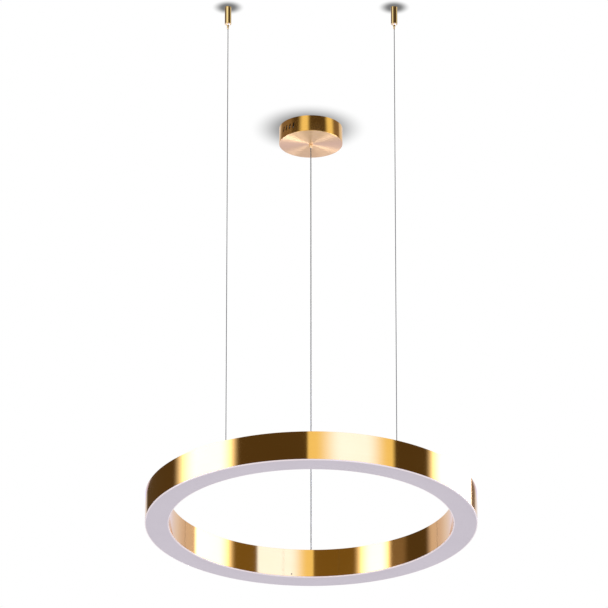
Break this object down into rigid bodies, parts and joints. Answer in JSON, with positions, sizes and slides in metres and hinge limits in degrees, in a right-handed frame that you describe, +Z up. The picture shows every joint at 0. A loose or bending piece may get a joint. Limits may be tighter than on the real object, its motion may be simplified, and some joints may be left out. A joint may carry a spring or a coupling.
{
  "type": "ring pendant lamp",
  "caption": "Brass channel ring with an opal underside, hung level on two steel ropes with ceiling rope grips and one power cable from a round vented canopy.",
  "frame": {"origin": "centre of the canopy on the ceiling plane", "axes": "+Z up; the ring hangs below the origin and towards -Y, its two front ropes at its -Y side, mirrored across X = 0"},
  "size_m": [0.6, 0.6385, 0.925],
  "materials": {
    "brushed_brass": "brushed round the ring",
    "brushed_brass_cover": "brushed",
    "canopy_brass": "brushed in circles",
    "polished_brass": "polished",
    "brass_nuts": "turned",
    "brass_screws": "polished",
    "zinc_steel": "zinc plated",
    "dark_steel": "blackened",
    "steel_fittings": "bright",
    "steel_rope": "stranded",
    "spring_steel": "bright",
    "opal_acrylic": "satin opal",
    "clear_cable": "clear jacket over a grey braid",
    "clear_insulation": "glossy",
    "white_insulation": "glossy",
    "white_nylon": "satin",
    "driver_case": "fine texture",
    "aluminium_carrier": "mill finish",
    "white_board": "white solder mask",
    "led_phosphor": "yellow phosphor"
  },
  "bodies": {
    "ceiling_fittings": {"cable_tail": "clear_cable", "cable_collar": "steel_fittings", "canopy_cover": "canopy_brass", "mounting_plate": "zinc_steel", "threaded_tube": "brass_nuts", "tube_nut": "brass_nuts", "canopy_gland": "polished_brass", "led_driver": "driver_case", "driver_screws": "zinc_steel", "mains_terminal_block": "white_nylon", "driver_input_lead": "white_insulation", "left_rope_tail": "steel_rope", "left_anchor_socket": "brass_nuts", "left_grip_sleeve": "polished_brass", "left_release_spring": "spring_steel", "right_rope_tail": "steel_rope", "right_anchor_socket": "brass_nuts", "right_grip_sleeve": "polished_brass", "right_release_spring": "spring_steel"},
    "power_cable": {"power_cable": "clear_cable", "cable_ball": "steel_fittings"},
    "ring": {"outer_band": "brushed_brass", "inner_band": "brushed_brass", "top_cover": "brushed_brass_cover", "section_brackets": "zinc_steel", "hanger_brackets": "zinc_steel", "cover_screws": "brass_screws", "carrier_screws": "zinc_steel", "diffuser": "opal_acrylic", "diffuser_set_screws": "dark_steel", "ring_terminal_block": "white_nylon", "cable_cores": "clear_insulation", "board_jumpers": "white_insulation", "block_wires": "white_insulation", "ring_cable_gland": "polished_brass", "ring_gland_nut": "brass_nuts", "led_carrier_left": "aluminium_carrier", "led_board_left": "white_board", "led_chips_left": "led_phosphor", "led_carrier_front": "aluminium_carrier", "led_board_front": "white_board", "led_chips_front": "led_phosphor", "led_carrier_right": "aluminium_carrier", "led_board_right": "white_board", "led_chips_right": "led_phosphor", "left_rope_bushing": "polished_brass", "left_bushing_nut": "brass_nuts", "right_rope_bushing": "polished_brass", "right_bushing_nut": "brass_nuts"},
    "left_rope": {"left_rope": "steel_rope", "left_rope_ball": "steel_fittings"},
    "right_rope": {"right_rope": "steel_rope", "right_rope_ball": "steel_fittings"},
    "left_release": {"left_release_plunger": "polished_brass", "left_grip_balls": "steel_fittings"},
    "right_release": {"right_release_plunger": "polished_brass", "right_grip_balls": "steel_fittings"}
  },
  "joints": [
    {"name": "ring_swing", "type": "hinge", "parent": "ceiling_fittings", "child": "power_cable", "pos_m": [0, 0, -0.041], "axis": [1, 0, 0], "range_deg": [-15, 15]},
    {"name": "ring_level", "type": "hinge", "parent": "power_cable", "child": "ring", "pos_m": [0, 0, -0.8692], "axis": [1, 0, 0], "range_deg": [-15, 15]},
    {"name": "left_rope_swing", "type": "hinge", "parent": "ceiling_fittings", "child": "left_rope", "pos_m": [-0.15168, -0.51207, -0.044], "axis": [1, 0, 0], "range_deg": [-15, 15]},
    {"name": "right_rope_swing", "type": "hinge", "parent": "ceiling_fittings", "child": "right_rope", "pos_m": [0.15168, -0.51207, -0.044], "axis": [1, 0, 0], "range_deg": [-15, 15]},
    {"name": "left_release_push", "type": "slide", "parent": "ceiling_fittings", "child": "left_release", "axis": [0, 0, 1], "range_m": [0, 0.0025], "stiffness_N_per_m": 600, "springref_m": -0.002, "deforming": ["left_release_spring"]},
    {"name": "right_release_push", "type": "slide", "parent": "ceiling_fittings", "child": "right_release", "axis": [0, 0, 1], "range_m": [0, 0.0025], "stiffness_N_per_m": 600, "springref_m": -0.002, "deforming": ["right_release_spring"]}
  ],
  "couplings": [
    {"joint": "ring_level", "follows": "ring_swing", "ratio": -1},
    {"joint": "left_rope_swing", "follows": "ring_swing", "ratio": 1},
    {"joint": "right_rope_swing", "follows": "ring_swing", "ratio": 1}
  ]
}
